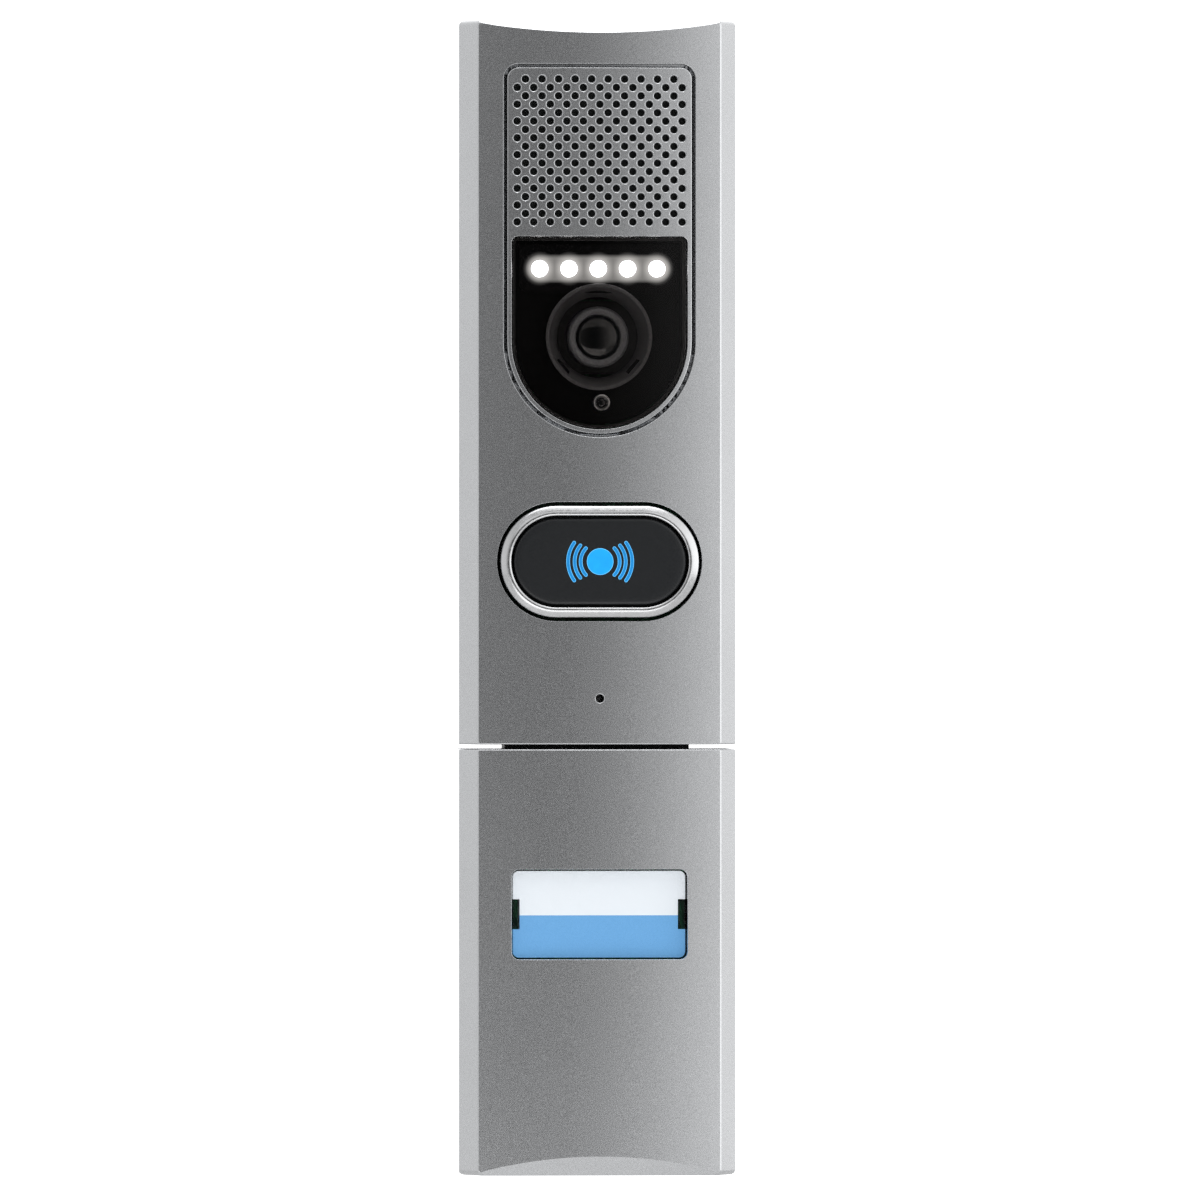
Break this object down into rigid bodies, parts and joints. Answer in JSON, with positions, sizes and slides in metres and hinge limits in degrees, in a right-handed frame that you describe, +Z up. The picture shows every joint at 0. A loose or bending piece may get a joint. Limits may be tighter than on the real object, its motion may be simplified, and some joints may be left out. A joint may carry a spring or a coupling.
{
  "type": "video doorbell",
  "caption": "Slim upright two-module wall door station with camera window, speaker grille, lit call button and lit name window.",
  "frame": {"origin": "middle of the wall bracket's back face, on the wall", "axes": "+Z up along the doorbell's length, +Y into the wall, so the front looks along -Y and +X is to the right seen from the front"},
  "size_m": [0.05, 0.0308, 0.2078],
  "materials": {
    "silver_paint": "fine metallic silver grey, satin",
    "black_plastic": "moulded, fine texture",
    "gloss_black": "polished",
    "lens_glass": "coated, polished",
    "satin_ring": "satin plated",
    "bracket_steel": "zinc plated sheet",
    "screw_steel": "plated",
    "seal_rubber": "matt",
    "circuit_board": "solder mask over glass fibre board",
    "terminal_green": "moulded",
    "white_lamp": "lit lamp",
    "blue_light": "lit light guide",
    "clear_plastic": "clear polished plastic",
    "card": "printed, upper half white and lower half blue",
    "milky_plastic": "milky, lets light through",
    "speaker_fabric": "fine woven mesh",
    "speaker_paper": "pressed cone",
    "stem_plastic": "moulded",
    "ribbon_plastic": "flat film cable"
  },
  "bodies": {
    "station": {"upper_front_housing": "silver_paint", "lower_front_housing": "silver_paint", "grille_panel": "silver_paint", "upper_rear_housing": "black_plastic", "lower_rear_housing": "black_plastic", "speaker_frame": "black_plastic", "camera_yoke": "black_plastic", "camera_hood": "black_plastic", "switch_body": "black_plastic", "module_link": "black_plastic", "camera_window": "gloss_black", "light_sensor": "lens_glass", "button_ring": "satin_ring", "wall_bracket": "bracket_steel", "lock_screw": "screw_steel", "speaker_magnet": "screw_steel", "microphone": "screw_steel", "return_spring_left": "screw_steel", "return_spring_right": "screw_steel", "terminal_screw_1": "screw_steel", "terminal_screw_2": "screw_steel", "upper_case_screw_1": "screw_steel", "upper_case_screw_2": "screw_steel", "upper_case_screw_3": "screw_steel", "upper_case_screw_4": "screw_steel", "lower_case_screw_1": "screw_steel", "lower_case_screw_2": "screw_steel", "lower_case_screw_3": "screw_steel", "lower_case_screw_4": "screw_steel", "upper_housing_seal": "seal_rubber", "lower_housing_seal": "seal_rubber", "microphone_boot": "seal_rubber", "main_board": "circuit_board", "lamp_board": "circuit_board", "name_light_board": "circuit_board", "terminal_block": "terminal_green", "lamp_1": "white_lamp", "lamp_2": "white_lamp", "lamp_3": "white_lamp", "lamp_4": "white_lamp", "lamp_5": "white_lamp", "symbol_lamp": "white_lamp", "name_lamp_1": "white_lamp", "name_lamp_2": "white_lamp", "light_diffuser": "milky_plastic", "speaker_cloth": "speaker_fabric", "speaker_cone": "speaker_paper", "link_ribbon": "ribbon_plastic"},
    "call_button": {"button_cap": "gloss_black", "call_symbol": "blue_light"},
    "switch_plunger": {"switch_stem": "stem_plastic"},
    "camera": {"lens_barrel": "black_plastic", "lens_glass": "lens_glass", "camera_cradle": "black_plastic", "sensor_board": "circuit_board", "image_sensor": "lens_glass"},
    "name_plate": {"name_cover": "clear_plastic", "name_card": "card"}
  },
  "joints": [
    {"name": "button_travel", "type": "slide", "parent": "station", "child": "call_button", "axis": [0, 1, 0], "range_m": [0, 0.0008], "stiffness_N_per_m": 2500, "springref_m": -0.0008, "deforming": ["return_spring_left", "return_spring_right"]},
    {"name": "switch_travel", "type": "slide", "parent": "station", "child": "switch_plunger", "axis": [0, 1, 0], "range_m": [0, 0.0003]},
    {"name": "camera_tilt", "type": "hinge", "parent": "station", "child": "camera", "pos_m": [0, -0.017, 0.0469], "axis": [1, 0, 0], "range_deg": [-10, 10]},
    {"name": "name_plate_pull", "type": "slide", "parent": "station", "child": "name_plate", "axis": [0, -1, 0], "range_m": [0, 0.012]}
  ],
  "couplings": [
    {"joint": "switch_travel", "follows": "button_travel", "ratio": 0.3125}
  ]
}
